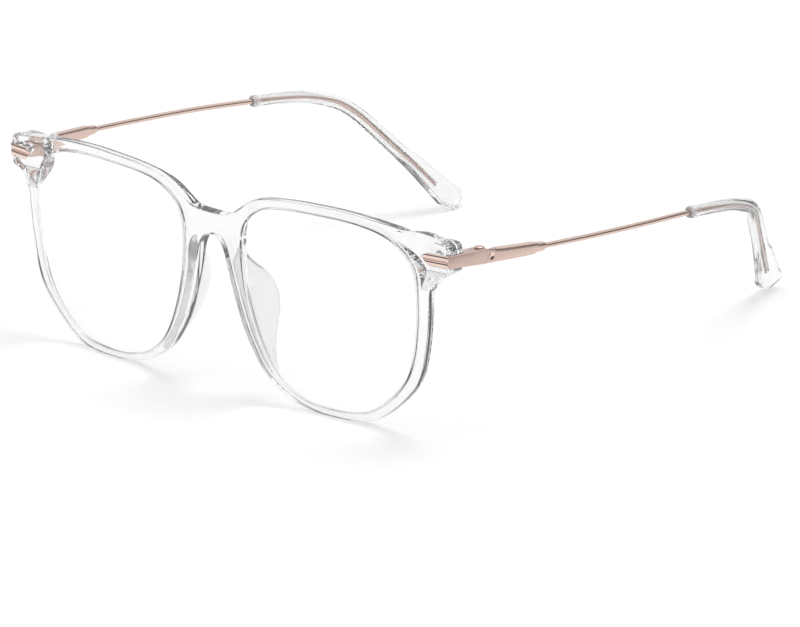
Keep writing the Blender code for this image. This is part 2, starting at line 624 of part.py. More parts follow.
def nose_pad(side, tag):
    """A fin bonded to the back of the rim beside the nose."""
    outline = smooth(OUTLINE, False, 2.0)
    nasal = outline[(outline[:, 0] < 30) & (outline[:, 1] < 38)]
    opening = smooth(OPENING, True, 2.0)
    inner = opening[(opening[:, 0] < 30) & (opening[:, 1] < 40)]
    inner = inner[np.argsort(inner[:, 1])]
    nasal = nasal[np.argsort(nasal[:, 1])]
    ridge = smooth(PAD_RIDGE, False, 2.4)
    rings = []
    for rx, ry, rz in ridge:
        a = float(np.interp(rz, nasal[:, 1], nasal[:, 0])) + 0.35
        b = float(np.interp(rz, inner[:, 1], inner[:, 0])) - 0.35
        ya = WRAP * a * a - LEAN * rz + float(depth_at(a)) + 0.15
        yb = WRAP * b * b - LEAN * rz + float(depth_at(b)) + 0.15
        ry = max(ry, ya + 0.5, yb + 0.5)
        tip_half = 0.55 if ry - yb > 2.0 else 0.35
        pts = [(a, ya), (a + 0.05, ya + (ry - ya) * 0.22)]
        for f in (0.45, 0.7, 0.88):
            bow = 0.35 * math.sin(math.pi * f)
            pts.append((a + (rx - tip_half - a) * f - bow, ya + (ry - ya) * f))
        pts += [(rx - tip_half * 0.8, ry - 0.12), (rx, ry), (rx + tip_half * 0.8, ry - 0.18)]
        for f in (0.8, 0.5, 0.2):
            bx = b + 0.05
            pts.append((bx + (rx + tip_half - bx) * f, yb + (ry - yb) * f))
        pts.append((b, yb))
        rings.append([Vector((x, y_of(y), rz)) for x, y in pts])
    obj = body("nose_pad_" + tag, loft(rings), side, smooth_angle=50)
    obj.data.materials.append(colour_material("clear_pad_" + tag, (0.88, 0.88, 0.89), 0.3, clear=0.8))


front()
for side, tag in ((1, "left"), (-1, "right")):
    lens(side, tag)
    nose_pad(side, tag)
    endpiece(side, tag)
    hinge_hardware(side, tag)
    temple(side, tag)
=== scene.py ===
"""Blue light glasses: the visible model and its studio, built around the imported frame.

Lengths in the shape functions are millimetres and become metres when a mesh is made.
The front faces -Y, the temples run to +Y, +X is the wearer's left.
"""

import math

import bmesh
import bpy
import numpy as np
from mathutils import Matrix, Vector
from mathutils.geometry import delaunay_2d_cdt


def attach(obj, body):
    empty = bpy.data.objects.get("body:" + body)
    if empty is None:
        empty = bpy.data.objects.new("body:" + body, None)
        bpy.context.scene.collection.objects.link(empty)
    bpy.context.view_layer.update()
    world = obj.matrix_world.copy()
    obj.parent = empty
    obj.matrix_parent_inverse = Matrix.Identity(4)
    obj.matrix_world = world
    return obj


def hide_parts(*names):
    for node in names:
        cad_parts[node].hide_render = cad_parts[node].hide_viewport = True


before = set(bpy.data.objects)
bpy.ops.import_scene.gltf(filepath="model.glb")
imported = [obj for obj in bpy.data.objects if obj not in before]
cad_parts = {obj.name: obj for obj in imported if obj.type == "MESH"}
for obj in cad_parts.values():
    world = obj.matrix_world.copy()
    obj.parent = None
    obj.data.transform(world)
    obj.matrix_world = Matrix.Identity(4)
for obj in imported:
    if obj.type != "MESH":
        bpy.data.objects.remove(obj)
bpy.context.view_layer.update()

MM = 0.001

# ---------------------------------------------------------------- the design's own dimensions
FRONT_Y = -76.26
WRAP = 1.257e-3
LEAN = 0.0652
RIM_DEPTH = 2.6
BRIDGE_DEPTH = 3.5
RIM_ROUND = 0.42
GROOVE_AT, GROOVE_DEPTH, GROOVE_HALF = 1.30, 0.60, 0.50
LENS_THICK, LENS_GAP, LENS_BULGE = 1.6, 0.12, 0.70
TEMPLE_Z, TEMPLE_Y, TEMPLE_SLOPE = 46.34, 3.37, 0.1007
SEAM_Y, PIVOT_X, PIVOT_Y = 16.90, 68.90, 17.00
BARREL_R, SCREW_R, HOLE_R, WIRE_R, BORE_R = 1.60, 0.60, 0.66, 0.70, 0.80
LUG_BACK_Y = 9.40

OUTLINE = [
    (0.0, 46.1), (2.4, 46.1), (4.7, 46.3), (6.5, 47.0), (8.5, 48.4), (11.2, 50.4),
    (14.2, 52.0), (18.0, 53.0), (22.6, 53.6), (27.5, 54.0), (33.0, 54.2), (39.0, 54.3),
    (44.0, 54.1), (50.0, 53.6), (55.0, 53.0), (60.0, 52.3), (65.0, 51.4), (69.6, 50.5),
    (70.15, 50.25), (70.4, 49.7), (70.4, 46.0), (70.4, 43.0), (70.15, 42.5), (69.5, 42.3),
    (68.2, 42.15), (66.8, 41.4), (65.7, 39.9), (65.1, 38.0), (64.8, 34.3), (64.4, 29.1),
    (63.7, 24.0), (62.8, 19.4), (61.9, 16.2), (60.7, 13.4), (59.0, 11.0), (56.9, 8.6),
    (54.4, 6.2), (51.8, 4.0), (48.5, 1.8), (45.0, 0.6), (41.0, 0.07), (38.8, 0.0), (36.4, 0.0),
    (32.5, 0.12), (28.6, 0.7), (25.4, 1.5), (22.2, 2.8), (19.6, 4.3), (17.1, 6.1),
    (14.9, 8.2), (13.1, 10.8), (11.4, 13.7), (10.0, 16.4), (8.7, 19.8), (7.5, 23.4),
    (6.4, 27.0), (5.4, 30.9), (4.5, 34.6), (3.8, 37.2), (2.7, 39.1), (1.3, 40.0),
    (0.0, 40.2),
]
OPENING = [
    (12.6, 47.3), (15.2, 49.2), (19.0, 50.6), (24.0, 51.3), (33.0, 51.6), (40.0, 51.6),
    (46.0, 51.2), (51.6, 50.1), (55.0, 48.7), (57.6, 46.7), (59.5, 44.4), (60.6, 42.3),
    (61.1, 39.2), (61.2, 34.6), (61.1, 30.4), (60.7, 26.0), (59.9, 21.1), (58.4, 15.8),
    (56.1, 11.8), (53.2, 8.5), (49.8, 5.6), (45.4, 3.1), (40.4, 2.1), (35.0, 1.9),
    (29.6, 2.4), (25.6, 3.5), (21.8, 5.4), (18.5, 8.3), (16.4, 11.2), (14.5, 14.8),
    (12.8, 19.1), (11.4, 23.6), (10.2, 28.8), (9.6, 34.0), (9.4, 38.6), (9.8, 42.5),
    (10.9, 45.4),
]
LUG_OUTER = [
    (51.0, 53.2), (55.5, 52.6), (60.0, 51.95), (64.6, 51.2), (68.9, 50.4), (69.9, 49.9), (70.3, 49.2),
    (70.3, 46.5), (70.3, 43.5), (69.9, 42.65), (68.6, 42.15), (66.9, 41.3), (65.6, 39.6), (65.0, 37.6),
    (64.75, 35.8),
]
LUG_INNER = [
    (50.6, 51.3), (53.6, 49.85), (56.5, 48.2), (58.6, 46.2), (59.35, 45.25), (59.7, 44.85), (60.0, 44.3),
    (60.5, 43.4), (61.05, 42.3), (61.25, 41.5), (61.4, 40.8), (61.5, 40.1), (61.6, 39.0), (61.65, 37.5),
    (61.65, 35.8),
]
TEMPLE = [
    (70.75, 16.9, 44.98), (71.35, 22.0, 44.5), (72.2, 29.0, 43.9), (72.9, 36.8, 43.3),
    (73.3, 55.0, 41.65), (72.85, 75.0, 39.8), (71.27, 95.2, 37.67), (70.3, 108.0, 36.0),
    (69.6, 114.0, 34.9), (68.9, 118.9, 33.5), (68.3, 121.5, 32.6), (67.4, 124.2, 31.4),
    (66.3, 126.6, 29.8), (65.0, 128.8, 27.8), (63.5, 131.2, 25.2), (60.2, 136.9, 18.6),
    (57.1, 142.1, 12.6), (54.6, 146.6, 7.2), (52.9, 149.4, 3.7), (51.3, 152.1, 0.42),
]
WIRE_END_Y = 146.7
TIP_START_Y = 94.6
TIP_SHAPE = [
    (TIP_START_Y, 2.1, 2.2, 0.0, 2.2), (TIP_START_Y + 0.25, 2.6, 2.7, 0.0, 2.3), (TIP_START_Y + 0.8, 2.95, 3.05, 0.0, 2.4),
    (TIP_START_Y + 2.2, 2.95, 3.05, 0.0, 2.4), (TIP_START_Y + 3.4, 2.6, 2.75, 0.0, 2.4),
    (104.0, 2.6, 2.9, 0.0, 2.5), (112.0, 2.7, 3.1, 0.0, 2.6), (118.0, 2.8, 3.25, 0.0, 2.6),
    (122.0, 2.8, 3.4, 0.0, 2.7), (125.4, 2.8, 3.6, 0.0, 2.7), (128.8, 2.8, 3.8, 0.0, 2.8),
    (133.0, 2.8, 4.1, 0.1, 2.8), (140.3, 2.7, 4.7, 0.15, 3.0), (141.4, 2.7, 5.4, 0.4, 3.0),
    (143.2, 2.6, 5.9, 0.4, 3.0), (147.0, 2.5, 7.0, 0.45, 3.2), (149.0, 2.4, 7.7, 0.48, 3.4),
    (150.4, 2.4, 7.0, 1.2, 3.4), (151.7, 2.2, 6.2, 1.9, 3.2), (152.1, 1.7, 5.0, 1.9, 2.6),
]
PAD_RIDGE = [
    (7.4, 2.2, 38.0), (8.2, 2.6, 36.2), (9.1, 4.6, 33.8), (10.0, 7.3, 31.2), (10.9, 9.3, 28.0),
    (11.4, 10.3, 25.0), (11.8, 10.3, 21.8), (12.3, 9.2, 18.6), (13.2, 7.4, 15.2), (14.7, 5.6, 11.7),
    (16.5, 4.3, 8.6), (18.6, 3.7, 6.2),
]
SCREW_AT = [(65.9, 47.15), (68.5, 47.15)]


# ---------------------------------------------------------------- curves
def smooth(points, closed, step):
    p = [np.asarray(q, float) for q in points]
    n = len(p)
    if not closed:
        p = [2 * p[0] - p[1]] + p + [2 * p[-1] - p[-2]]
    out = []
    spans = range(n) if closed else range(1, n)
    for i in spans:
        if closed:
            a, b, c, d = p[i - 1], p[i], p[(i + 1) % n], p[(i + 2) % n]
        else:
            a, b, c, d = p[i - 1], p[i], p[i + 1], p[i + 2]
        t1 = np.linalg.norm(b - a) ** 0.5
        t2 = t1 + np.linalg.norm(c - b) ** 0.5
        t3 = t2 + np.linalg.norm(d - c) ** 0.5
        parts = max(1, round(np.linalg.norm(c - b) / step))
        for k in range(parts):
            t = t1 + (t2 - t1) * k / parts
            a1 = a * (t1 - t) / t1 + b * t / t1
            a2 = b * (t2 - t) / (t2 - t1) + c * (t - t1) / (t2 - t1)
            a3 = c * (t3 - t) / (t3 - t2) + d * (t - t2) / (t3 - t2)
            b1 = a1 * (t2 - t) / t2 + a2 * t / t2
            b2 = a2 * (t3 - t) / (t3 - t1) + a3 * (t - t1) / (t3 - t1)
            out.append(b1 * (t2 - t) / (t2 - t1) + b2 * (t - t1) / (t2 - t1))
    if not closed:
        out.append(p[-2])
    return np.array(out)


def relaxed(loop, passes, closed=True):
    """Evens out small kinks of a densely sampled loop."""
    loop = loop.copy()
    for _ in range(passes):
        if closed:
            loop = 0.5 * loop + 0.25 * (np.roll(loop, 1, axis=0) + np.roll(loop, -1, axis=0))
        else:
            loop[1:-1] = 0.5 * loop[1:-1] + 0.25 * (loop[:-2] + loop[2:])
    return loop


def offset(loop, amount):
    before, after = np.roll(loop, 1, axis=0), np.roll(loop, -1, axis=0)
    area = np.sum(loop[:, 0] * after[:, 1] - after[:, 0] * loop[:, 1])
    turn = 1.0 if area > 0 else -1.0

    def normal(v):
        v = v / np.linalg.norm(v, axis=1, keepdims=True)
        return np.stack([v[:, 1], -v[:, 0]], axis=1) * turn

    m = normal(loop - before) + normal(after - loop)
    length = np.linalg.norm(m, axis=1, keepdims=True)
    return loop + m / length * amount * np.minimum(2.0 / length, 1.3)


def surface(xz, depth):
    x, z = xz[:, 0], xz[:, 1]
    return np.stack([x, FRONT_Y + WRAP * x * x - LEAN * z + depth, z], axis=1)


def ease(t):
    t = np.clip(t, 0.0, 1.0)
    return t * t * (3.0 - 2.0 * t)


def depth_at(x):
    return BRIDGE_DEPTH + (RIM_DEPTH - BRIDGE_DEPTH) * ease((np.abs(x) - 8.0) / 9.0)


def inside(points, loop):
    """Which points (n, 2) lie inside the closed loop."""
    x, z = points[:, 0][:, None], points[:, 1][:, None]
    x0, z0 = loop[:, 0][None], loop[:, 1][None]
    x1, z1 = np.roll(loop[:, 0], -1)[None], np.roll(loop[:, 1], -1)[None]
    crosses = ((z0 > z) != (z1 > z)) & (x < (x1 - x0) * (z - z0) / np.where(z1 == z0, 1e-12, z1 - z0) + x0)
    return crosses.sum(axis=1) % 2 == 1


def y_of(back):
    return FRONT_Y + back


# ---------------------------------------------------------------- mesh makers
def piece(name, bm, side=1, sharp=35.0):
    """Turns a bmesh in millimetres into an object in metres. Side -1 mirrors it in X."""
    if side < 0:
        bmesh.ops.scale(bm, vec=(-1, 1, 1), verts=bm.verts)
    bmesh.ops.recalc_face_normals(bm, faces=bm.faces)
    bmesh.ops.scale(bm, vec=(MM, MM, MM), verts=bm.verts)
    mesh = bpy.data.meshes.new(name)
    bm.to_mesh(mesh)
    bm.free()
    obj = bpy.data.objects.new(name, mesh)
    bpy.context.scene.collection.objects.link(obj)
    mesh.shade_smooth()
    mesh.set_sharp_from_angle(angle=math.radians(sharp))
    return obj


def carve(obj, steps, sharp=35.0, bevel=0.0):
    """Applies Boolean steps (operation, helper) to obj, then a small bevel on its edges."""
    for n, (operation, helper) in enumerate(steps):
        mod = obj.modifiers.new(f"step_{n}", "BOOLEAN")
        mod.operation = operation
        mod.object = helper
        mod.solver = "EXACT"
    if bevel:
        mod = obj.modifiers.new("edges", "BEVEL")
        mod.width = bevel * MM
        mod.segments = 2
        mod.limit_method = "ANGLE"
        mod.angle_limit = math.radians(38)
        mod.use_clamp_overlap = True
    bpy.context.view_layer.update()
    mesh = bpy.data.meshes.new_from_object(obj.evaluated_get(bpy.context.evaluated_depsgraph_get()))
    obj.modifiers.clear()
    obj.data = mesh
    mesh.shade_smooth()
    mesh.set_sharp_from_angle(angle=math.radians(sharp))
    for _, helper in steps:
        bpy.data.objects.remove(helper, do_unlink=True)
    return obj


def loft(rings, close_ends=True, round_again=False):
    bm = bmesh.new()
    rows = [[bm.verts.new(p) for p in ring] for ring in rings]
    for a, b in zip(rows, rows[1:] + ([rows[0]] if round_again else [])):
        n = len(a)
        for i in range(n):
            bm.faces.new((a[i], a[(i + 1) % n], b[(i + 1) % n], b[i]))
    if close_ends:
        bm.faces.new(rows[0][::-1])
        bm.faces.new(rows[-1])
    return bm


def prism(plan, axes, low, high):
    return loft([[axes @ Vector((u, v, t)) for u, v in plan] for t in (low, high)])


def disc(radius, count):
    return [(radius * math.cos(2 * math.pi * i / count), radius * math.sin(2 * math.pi * i / count)) for i in range(count)]


def turned(profile, axes, count):
    bm = bmesh.new()
    rows = []
    for r, t in profile:
        if r == 0:
            rows.append([bm.verts.new(axes @ Vector((0, 0, t)))])
        else:
            rows.append([bm.verts.new(axes @ Vector((u, v, t))) for u, v in disc(r, count)])
    for a, b in zip(rows, rows[1:]):
        for i in range(count):
            j = (i + 1) % count
            if len(a) == 1:
                bm.faces.new((a[0], b[i], b[j]))
            elif len(b) == 1:
                bm.faces.new((a[i], a[j], b[0]))
            else:
                bm.faces.new((a[i], a[j], b[j], b[i]))
    if len(rows[0]) > 1:
        bm.faces.new(rows[0][::-1])
    if len(rows[-1]) > 1:
        bm.faces.new(rows[-1])
    return bm


def section(centre, across, up, width, height, count, power=2.6):
    ring = []
    for i in range(count):
        a = 2 * math.pi * (i + 0.5) / count
        c, s = math.cos(a), math.sin(a)
        u = math.copysign(abs(c) ** (2 / power), c) * width / 2
        v = math.copysign(abs(s) ** (2 / power), s) * height / 2
        ring.append(centre + across * u + up * v)
    return ring


def arc(radius, start, end, count):
    return [
        (radius * math.cos(math.radians(start + (end - start) * i / count)),
         radius * math.sin(math.radians(start + (end - start) * i / count)))
        for i in range(count + 1)
    ]


# ---------------------------------------------------------------- clear front
def sheet(outline, holes, step):
    """Triangles of the flat region between the loops, with an even scatter of points inside, so
    that a curved face built from them shades without long slivers.
    Returns the scattered points and the triangles; a triangle's numbers count through the
    outline, the holes and then the scattered points."""
    rim = np.concatenate([outline] + holes)
    low, high = outline.min(axis=0), outline.max(axis=0)
    xs, zs = np.meshgrid(np.arange(low[0], high[0], step), np.arange(low[1], high[1], step * 0.88))
    xs = xs + step / 2 * (np.round((zs - low[1]) / (step * 0.88)) % 2)
    grid = np.stack([xs.ravel(), zs.ravel()], axis=1)
    keep = inside(grid, outline)
    for hole in holes:
        keep &= ~inside(grid, hole)
    grid = grid[keep]
    gap = np.array([np.min(np.sum((rim - g) ** 2, axis=1)) for g in grid])
    grid = grid[gap > (step * 0.45) ** 2]
    points = np.concatenate([rim, grid])
    edges, start = [], 0
    for loop in [outline] + holes:
        n = len(loop)
        edges += [(start + i, start + (i + 1) % n) for i in range(n)]
        start += n
    _, _, faces, origin, _, _ = delaunay_2d_cdt([Vector(p) for p in points], edges, [], 1, 1e-7)
    faces = np.array([[origin[i][0] for i in f] for f in faces])
    centres = points[faces].mean(axis=1)
    keep = inside(centres, outline)
    for hole in holes:
        keep &= ~inside(centres, hole)
    return grid, faces[keep]


def front_shape():
    half = smooth(OUTLINE, False, 0.4)
    outer = relaxed(np.concatenate([half, half[1:-1][::-1] * np.array([-1.0, 1.0])]), 4)
    opening = relaxed(smooth(OPENING, True, 0.4), 8)
    loops = [(outer, 1, False), (opening, -1, True), ((opening * np.array([-1.0, 1.0]))[::-1], -1, True)]
    turns = 6

    bm = bmesh.new()
    flat, fronts, backs = [], [], []
    for loop, sign, groove in loops:
        thick = depth_at(loop[:, 0])
        stack = []
        for k in range(turns + 1):
            a = 0.5 * math.pi * k / turns
            stack.append(surface(offset(loop, -sign * RIM_ROUND * (1 - math.sin(a))), RIM_ROUND * (1 - math.cos(a))))
        if groove:
            stack.append(surface(loop, GROOVE_AT - GROOVE_HALF))
            stack.append(surface(offset(loop, GROOVE_DEPTH - 0.08), GROOVE_AT - 0.07))
            stack.append(surface(offset(loop, GROOVE_DEPTH - 0.08), GROOVE_AT + 0.07))
            stack.append(surface(loop, GROOVE_AT + GROOVE_HALF))
        for k in range(turns, -1, -1):
            a = 0.5 * math.pi * k / turns
            stack.append(surface(offset(loop, -sign * RIM_ROUND * (1 - math.sin(a))), thick - RIM_ROUND * (1 - math.cos(a))))
        rows = [[bm.verts.new(p) for p in ring] for ring in stack]
        for a, b in zip(rows, rows[1:]):
            for i in range(len(a)):
                j = (i + 1) % len(a)
                bm.faces.new((a[i], a[j], b[j], b[i]))
        flat.append(offset(loop, -sign * RIM_ROUND))
        fronts += rows[0]
        backs += rows[-1]
    grid, faces = sheet(flat[0], flat[1:], 0.8)
    fronts += [bm.verts.new(p) for p in surface(grid, 0.0)]
    backs += [bm.verts.new(p) for p in surface(grid, depth_at(grid[:, 0]))]
    for f in faces:
        bm.faces.new([fronts[i] for i in f])
        bm.faces.new([backs[i] for i in reversed(f)])
    return bm


def lug_back(x, z):
    """Y of the lug's back, which sinks into the rim towards the bridge and down the side."""
    rim = FRONT_Y + WRAP * x * x - LEAN * z + 2.2
    part = float(ease((x - 54.0) / 8.0) * ease((z - 36.5) / 6.5))
    return rim + (y_of(LUG_BACK_Y) - rim) * part


def lug_shape():
    """The block behind the outer top corner of the rim, its rear edges rounded."""
    pairs = [(*a, *b) for a, b in zip(LUG_OUTER, LUG_INNER)]
    radius, turns = 0.45, 5
    rings = []
    for xo, zo, xi, zi in relaxed(smooth(pairs, False, 0.5), 3, closed=False):
        length = math.hypot(xi - xo, zi - zo)
        fall = 0.2 * float(ease((zo - 47.5) / 2.5))
        ring = [Vector((x, FRONT_Y + WRAP * x * x - LEAN * z + 2.0, z)) for x, z in ((xo, zo), (xi, zi))]
        turn = [(radius * (1 - math.cos(math.radians(90 * k / turns))), radius * (1 - math.sin(math.radians(90 * k / turns))))
                for k in range(turns + 1)]
        across = [(1 - out / length, down) for out, down in turn]
        edge = radius / length
        across += [(1 - edge - (1 - 2 * edge) * k / 12, 0.0) for k in range(1, 12)]
        across += [(out / length, down) for out, down in reversed(turn)]
        for t, down in across:
            x, z = xo + (xi - xo) * t, zo + (zi - zo) * t
            z -= fall * max(0.0, min(69.5 - x, 5.0)) * (1 - t)
            ring.append(Vector((x, lug_back(x, z) - down, z)))
        rings.append(ring)
    return loft(rings)


def plate_section(back, grow, inner_gap, reach):
    f = (back - TEMPLE_Y) / (SEAM_Y - TEMPLE_Y)
    outer = 70.75 + 0.8 * f + reach
    inner = 69.85 + 0.8 * f - grow + inner_gap
    z = TEMPLE_Z - TEMPLE_SLOPE * (back - TEMPLE_Y)
    h = (3.3 + 0.3 * f) / 2 + grow
    c = 0.0 if reach else 0.18
    pts = [(inner, -h), (outer - c, -h), (outer, -h + c), (outer, h - c), (outer - c, h), (inner, h)]
    return [Vector((x, y_of(back) + TEMPLE_SLOPE * t * min(max(f, 0.0), 1.0), z + t)) for x, t in pts]


def inlay_line(x):
    return TEMPLE_Z + 0.01 * (70.9 - x)


def inlay_plan(grow):
    points = [(72.5, -1.65), (65.6, -1.65), (63.0, 0.5), (64.9, 1.65), (72.5, 1.65)]
    return offset(np.array([(x, inlay_line(x) + t) for x, t in points]), grow)


def screw_frame(x, z):
    y = FRONT_Y + WRAP * x * x - LEAN * z
    return Matrix.Translation((x, y, z)) @ Matrix(((1, 0, 0), (0, 0, 1), (0, -1, 0))).to_4x4()


def hinge_frame():
    tilt = math.atan(TEMPLE_SLOPE)
    z = TEMPLE_Z - TEMPLE_SLOPE * (PIVOT_Y - TEMPLE_Y)
    return Matrix.Translation((PIVOT_X, y_of(PIVOT_Y), z)) @ Matrix.Rotation(-tilt, 4, "X")


def front():
    obj = piece("front_clear", front_shape())
    steps = []
    for side, tag in ((1, "left"), (-1, "right")):
        steps.append(("UNION", piece("lug_" + tag, lug_shape(), side)))
        inlay = inlay_plan(0.08)
        steps.append(("DIFFERENCE", piece("inlay_recess_" + tag, loft([surface(np.array(inlay), d) for d in (-1.5, 0.97)]), side)))
        rings = [plate_section(y, 0.08, 0.0, 2.0) for y in (1.0, 6.0, 12.0)]
        steps.append(("DIFFERENCE", piece("plate_recess_" + tag, loft(rings), side)))
        for n, (x, z) in enumerate(SCREW_AT):
            cut = turned([(0, -0.5), (0.62, -0.5), (0.62, 5.0), (1.15, 5.0), (1.15, 9.0), (0, 9.0)], screw_frame(x, z), 32)
            steps.append(("DIFFERENCE", piece(f"screw_hole_{n}_{tag}", cut, side)))
    return carve(obj, steps, 32.0)


def lens(side, tag):
    edge = relaxed(smooth(OPENING, True, 0.8), 3)
    centre = edge.mean(axis=0)
    rim = offset(edge, -LENS_GAP)
    half = LENS_THICK / 2

    def bowl(scale, depth):
        return surface(centre + (rim - centre) * scale, depth - LENS_BULGE * (1 - scale * scale))

    low, high = GROOVE_AT - half, GROOVE_AT + half
    scales = [0.015, 0.1, 0.25, 0.4, 0.55, 0.7, 0.82, 0.91, 0.97, 0.995]
    rings = [bowl(s, low) for s in scales] + [bowl(1.0, low + 0.04)]
    rings += [surface(rim, GROOVE_AT - 0.36), surface(offset(edge, GROOVE_DEPTH - 0.22), GROOVE_AT - 0.04),
              surface(offset(edge, GROOVE_DEPTH - 0.22), GROOVE_AT + 0.04), surface(rim, GROOVE_AT + 0.36)]
    rings += [bowl(1.0, high - 0.04)] + [bowl(s, high) for s in reversed(scales)]
    return piece("lens_clear_" + tag, loft(rings), side, 30.0)


def nose_pad(side, tag):
    outline = smooth(OUTLINE, False, 0.6)
    nasal = outline[(outline[:, 0] < 30) & (outline[:, 1] < 38)]
    opening = smooth(OPENING, True, 0.6)
    inner = opening[(opening[:, 0] < 30) & (opening[:, 1] < 40)]
    inner = inner[np.argsort(inner[:, 1])]
    nasal = nasal[np.argsort(nasal[:, 1])]
    ridge = smooth(PAD_RIDGE, False, 0.5)
    sections = []
    for rx, ry, rz in ridge:
        a = float(np.interp(rz, nasal[:, 1], nasal[:, 0])) + 0.35
        b = float(np.interp(rz, inner[:, 1], inner[:, 0])) - 0.35
        wide = 0.22 + 0.78 * float(ease((38.2 - rz) / 5.0)) * float(ease((rz - 5.0) / 4.0))
        a, b = rx + (a - rx) * wide, rx + (b - rx) * wide
        ya = WRAP * a * a - LEAN * rz + float(depth_at(a)) + 0.15
        yb = WRAP * b * b - LEAN * rz + float(depth_at(b)) + 0.15
        ry = max(ry, ya + 0.5, yb + 0.5)
        tip_half = 0.35 + 0.20 * float(ease((ry - yb - 1.0) / 2.0))
        pts = [(a, ya), (a + 0.02, ya + (ry - ya) * 0.1)]
        for f in (0.22, 0.36, 0.5, 0.64, 0.76, 0.86):
            bow = 0.35 * math.sin(math.pi * f)
            pts.append((a + (rx - tip_half - a) * f - bow, ya + (ry - ya) * f))
        for k in range(9):
            t = math.radians(180 - 22.5 * k)
            pts.append((rx + tip_half * math.cos(t), ry - tip_half * 0.8 + tip_half * 0.8 * math.sin(t)))
        for f in (0.86, 0.72, 0.58, 0.44, 0.3, 0.16, 0.06):
            bx = b + 0.05
            pts.append((bx + (rx + tip_half - bx) * f, yb + (ry - tip_half * 0.8 - yb) * f))
        pts.append((b, yb))
        sections.append([Vector((x, y_of(y), rz)) for x, y in pts])
    # the first and last sections drawn in a little towards their middles
    first, last = sections[0], sections[-1]
    for ring, out in ((first, 1), (last, -1)):
        mid = sum(ring, Vector()) / len(ring)
        for k, p in enumerate(ring):
            ring[k] = mid + (p - mid) * 0.8
    obj = piece("nose_pad_clear_" + tag, loft(sections), side, 40.0)
    return obj


# ---------------------------------------------------------------- metal endpiece
def endpiece(side, tag):
    crest = []
    for centre, flip in ((-0.86, 1), (0.86, 1)):
        for k in range(13):
            a = math.radians(180 - 15 * k)
            crest.append((centre + 0.78 * math.cos(a), 0.34 - 0.49 * math.sin(a) ** 0.8))
    profile = [(-1.65, 0.85), (-1.65, 0.36)] + crest + [(1.65, 0.36), (1.65, 0.85)]
    rings = []
    for x in np.linspace(62.0, 70.72, 12):
        ring = []
        for t, d in profile:
            z = inlay_line(x) + t
            ring.append(Vector((x, FRONT_Y + WRAP * x * x - LEAN * z + d, z)))
        rings.append(ring)
    obj = piece("endpiece_fine_" + tag, loft(rings), side, 30.0)
    steps = [("INTERSECT", piece("point_" + tag, loft([surface(np.array(inlay_plan(0.0)), d) for d in (-2.0, 2.0)]), side))]
    ys = (TEMPLE_Y - 0.1, 6.0, 9.0, 12.0, SEAM_Y)
    steps.append(("UNION", piece("plate_" + tag, loft([plate_section(y, 0.0, 0.0, 0.0) for y in ys]), side)))
    axis = hinge_frame()
    plan = arc(BARREL_R, 0.0, 180.0, 28) + [(-BARREL_R, -5.6), (-0.8, -6.3), (2.1, -6.3), (2.1, -0.16)]
    steps.append(("UNION", piece("ears_" + tag, prism(plan, axis, -1.5, 1.5), side)))
    slot_plan = arc(BARREL_R + 0.2, 180.0, 360.0, 28) + [(BARREL_R + 0.2, 3.0), (-BARREL_R - 0.2, 3.0)]
    steps.append(("DIFFERENCE", piece("slot_" + tag, prism(slot_plan, axis, -0.9, 0.9), side)))
    steps.append(("DIFFERENCE", piece("bore_" + tag, prism(disc(HOLE_R, 32), axis, -3.0, 3.0), side)))
    for n, (x, z) in enumerate(SCREW_AT):
        cut = turned([(0, 0.42), (0.62, 0.42), (0.62, 2.0), (0, 2.0)], screw_frame(x, z), 24)
        steps.append(("DIFFERENCE", piece(f"seat_{n}_{tag}", cut, side)))
    return carve(obj, steps, 30.0, 0.06)


def endpiece_screw(n, side, tag):
    x, z = SCREW_AT[n]
    end = y_of(LUG_BACK_Y) - (FRONT_Y + WRAP * x * x - LEAN * z) - 0.25
    name = f"endpiece_screw_{'inner' if n == 0 else 'outer'}_fine_{tag}"
    profile = [(0, 0.5), (0.42, 0.5), (0.5, 0.6)]
    for k in range(12):  # the thread, as rings
        t = 0.7 + k * 0.35
        profile += [(0.56, t), (0.5, t + 0.17)]
    profile += [(0.56, 5.0), (0.56, 5.06), (1.02, 5.06), (1.08, 5.14), (1.08, end - 0.25), (1.0, end - 0.08), (0.85, end), (0, end)]
    obj = piece(name, turned(profile, screw_frame(x, z), 32), side, 30.0)
    cross = screw_frame(x, z)
    steps = []
    for k, plan in enumerate(([(-0.75, -0.13), (0.75, -0.13), (0.75, 0.13), (-0.75, 0.13)],
                              [(-0.13, -0.75), (0.13, -0.75), (0.13, 0.75), (-0.13, 0.75)])):
        steps.append(("DIFFERENCE", piece(f"cross_{k}_{n}_{tag}", prism(plan, cross, end - 0.45, end + 1.0), side)))
    return carve(obj, steps, 30.0)


def hinge_screw(side, tag):
    axis = hinge_frame()
    profile = [(0, -1.7), (0.42, -1.7), (SCREW_R - 0.04, -1.55)]
    for k in range(5):
        t = -1.5 + k * 0.2
        profile += [(SCREW_R, t), (SCREW_R - 0.05, t + 0.1)]
    profile += [(SCREW_R, -0.4), (SCREW_R, 1.55), (1.2, 1.55), (1.25, 1.6), (1.25, 1.78)]
    profile += [(1.25 - 0.3 * (1 - math.cos(math.radians(18 * k))), 1.78 + 0.24 * math.sin(math.radians(18 * k))) for k in range(1, 6)]
    profile += [(0, 2.02)]
    obj = piece("hinge_screw_fine_" + tag, turned(profile, axis, 40), side, 30.0)
    slot = prism([(-2.0, -0.16), (2.0, -0.16), (2.0, 0.16), (-2.0, 0.16)], axis @ Matrix.Rotation(0.6, 4, "Z"), 1.8, 3.0)
    return carve(obj, [("DIFFERENCE", piece("slot_" + tag, slot, side))], 30.0)


